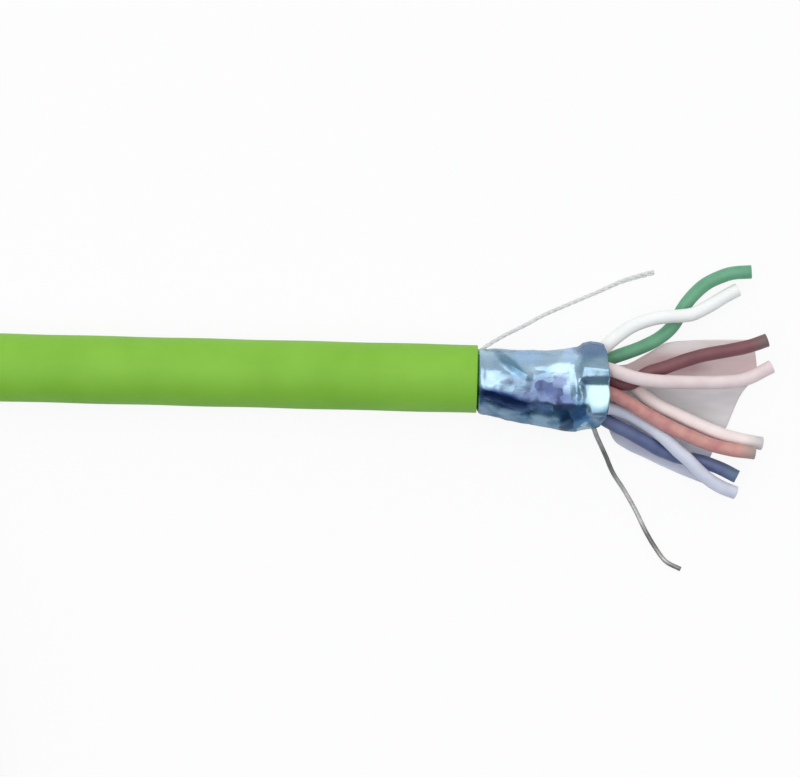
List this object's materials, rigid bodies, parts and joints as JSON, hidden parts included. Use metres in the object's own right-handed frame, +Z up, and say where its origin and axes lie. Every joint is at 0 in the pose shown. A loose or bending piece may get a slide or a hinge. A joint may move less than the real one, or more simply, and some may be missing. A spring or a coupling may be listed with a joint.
{
  "type": "screened network lead with one stripped end",
  "caption": "Foil-screened four-pair network lead, one end stripped to its free conductors, the rest coiled up to a shielded modular plug.",
  "frame": {"origin": "on the cable's axis at the cut end of the jacket", "axes": "+X along the cable's axis out of the cut end, +Z up from the table that the lead lies on"},
  "size_m": [0.1692, 0.1036, 0.0143],
  "materials": {
    "jacket_green": "soft satin",
    "thread_white": "fine polyester thread",
    "foil": "bright crumpled foil with a blue tint",
    "tinned_copper": "bare tinned wire",
    "film_grey": "thin translucent film",
    "copper": "bare copper",
    "boot_green": "soft moulded",
    "plug_clear": "clear polycarbonate",
    "shell_steel": "nickel plated",
    "bar_white": "satin",
    "contact_gold": "gold plated",
    "insulation_green": "satin insulation",
    "insulation_white_green": "satin insulation",
    "insulation_brown": "satin insulation",
    "insulation_white_brown": "satin insulation",
    "insulation_orange": "satin insulation",
    "insulation_white_orange": "satin insulation",
    "insulation_blue": "satin insulation",
    "insulation_white_blue": "satin insulation"
  },
  "bodies": {
    "lead": {"jacket": "jacket_green", "ripcord": "thread_white", "foil_screen": "foil", "drain_wire": "tinned_copper", "film_wrap": "film_grey", "wire_green": "insulation_green", "wire_white_green": "insulation_white_green", "wire_brown": "insulation_brown", "wire_white_brown": "insulation_white_brown", "wire_orange": "insulation_orange", "wire_white_orange": "insulation_white_orange", "wire_blue": "insulation_blue", "wire_white_blue": "insulation_white_blue", "core_green": "copper", "core_white_green": "copper", "core_brown": "copper", "core_white_brown": "copper", "core_orange": "copper", "core_white_orange": "copper", "core_blue": "copper", "core_white_blue": "copper", "cable_run": "jacket_green", "cable_coil": "jacket_green", "plug_lead": "jacket_green", "boot": "boot_green", "plug_housing": "plug_clear", "plug_shell": "shell_steel", "load_bar": "bar_white", "contact_1": "contact_gold", "contact_2": "contact_gold", "contact_3": "contact_gold", "contact_4": "contact_gold", "contact_5": "contact_gold", "contact_6": "contact_gold", "contact_7": "contact_gold", "contact_8": "contact_gold"},
    "latch": {"latch_lever": "plug_clear"}
  },
  "joints": [
    {"name": "latch_press", "type": "hinge", "parent": "lead", "child": "latch", "pos_m": [0.0044, -0.084, 0.00442], "axis": [0, -1, 0], "range_deg": [0, 6], "stiffness_Nm_per_rad": 0.05}
  ]
}
